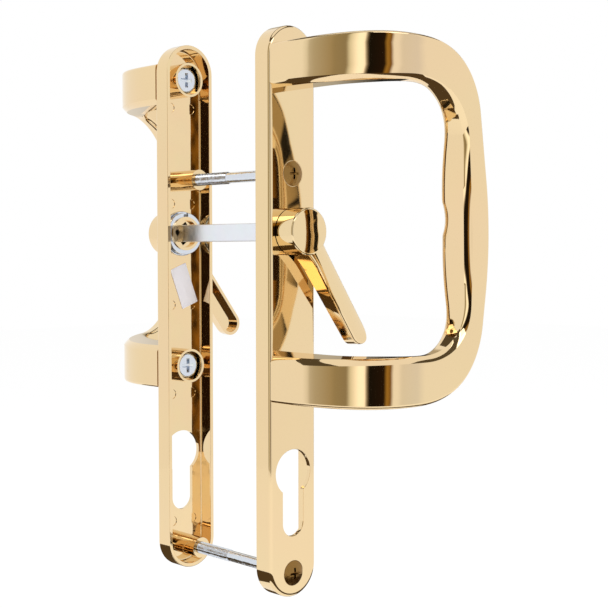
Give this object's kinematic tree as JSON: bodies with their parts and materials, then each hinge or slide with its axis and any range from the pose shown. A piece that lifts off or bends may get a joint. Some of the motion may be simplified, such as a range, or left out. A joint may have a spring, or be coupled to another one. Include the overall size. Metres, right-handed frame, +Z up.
{
  "type": "sliding patio door handle",
  "caption": "Mirror-polished gold patio door handle set: outer and inner long backplates, bent D pulls and small lock levers, joined by a square spindle and through bolts.",
  "frame": {"origin": "on the spindle's axis, midway between the door's two faces", "axes": "+Z up along the backplates, +Y along the spindle towards the inner half, +X towards the pulls' grips"},
  "size_m": [0.0584, 0.1864, 0.218],
  "materials": {
    "polished_gold": "mirror-polished gold plating on zinc die casting",
    "bright_zinc": "bright zinc-plated steel",
    "white_paper": "plain white paper label"
  },
  "bodies": {
    "fixed_set": {"outer_backplate": "polished_gold", "inner_backplate": "polished_gold", "outer_pull": "polished_gold", "inner_pull": "polished_gold", "upper_through_bolt": "bright_zinc", "lower_through_bolt": "bright_zinc", "outer_upper_pull_screw": "bright_zinc", "outer_lower_pull_screw": "bright_zinc", "inner_upper_pull_screw": "bright_zinc", "inner_lower_pull_screw": "bright_zinc", "outer_lever_washer": "bright_zinc", "inner_lever_washer": "bright_zinc", "outer_lever_spring": "bright_zinc", "inner_lever_spring": "bright_zinc", "blank_label": "white_paper"},
    "lever_set": {"outer_lever": "polished_gold", "inner_lever": "polished_gold", "spindle": "bright_zinc", "outer_lever_ring": "bright_zinc", "inner_lever_ring": "bright_zinc"}
  },
  "joints": [
    {"name": "lever_turn", "type": "hinge", "parent": "fixed_set", "child": "lever_set", "pos_m": [0, 0, 0], "axis": [0, -1, 0], "range_deg": [0, 90]}
  ]
}
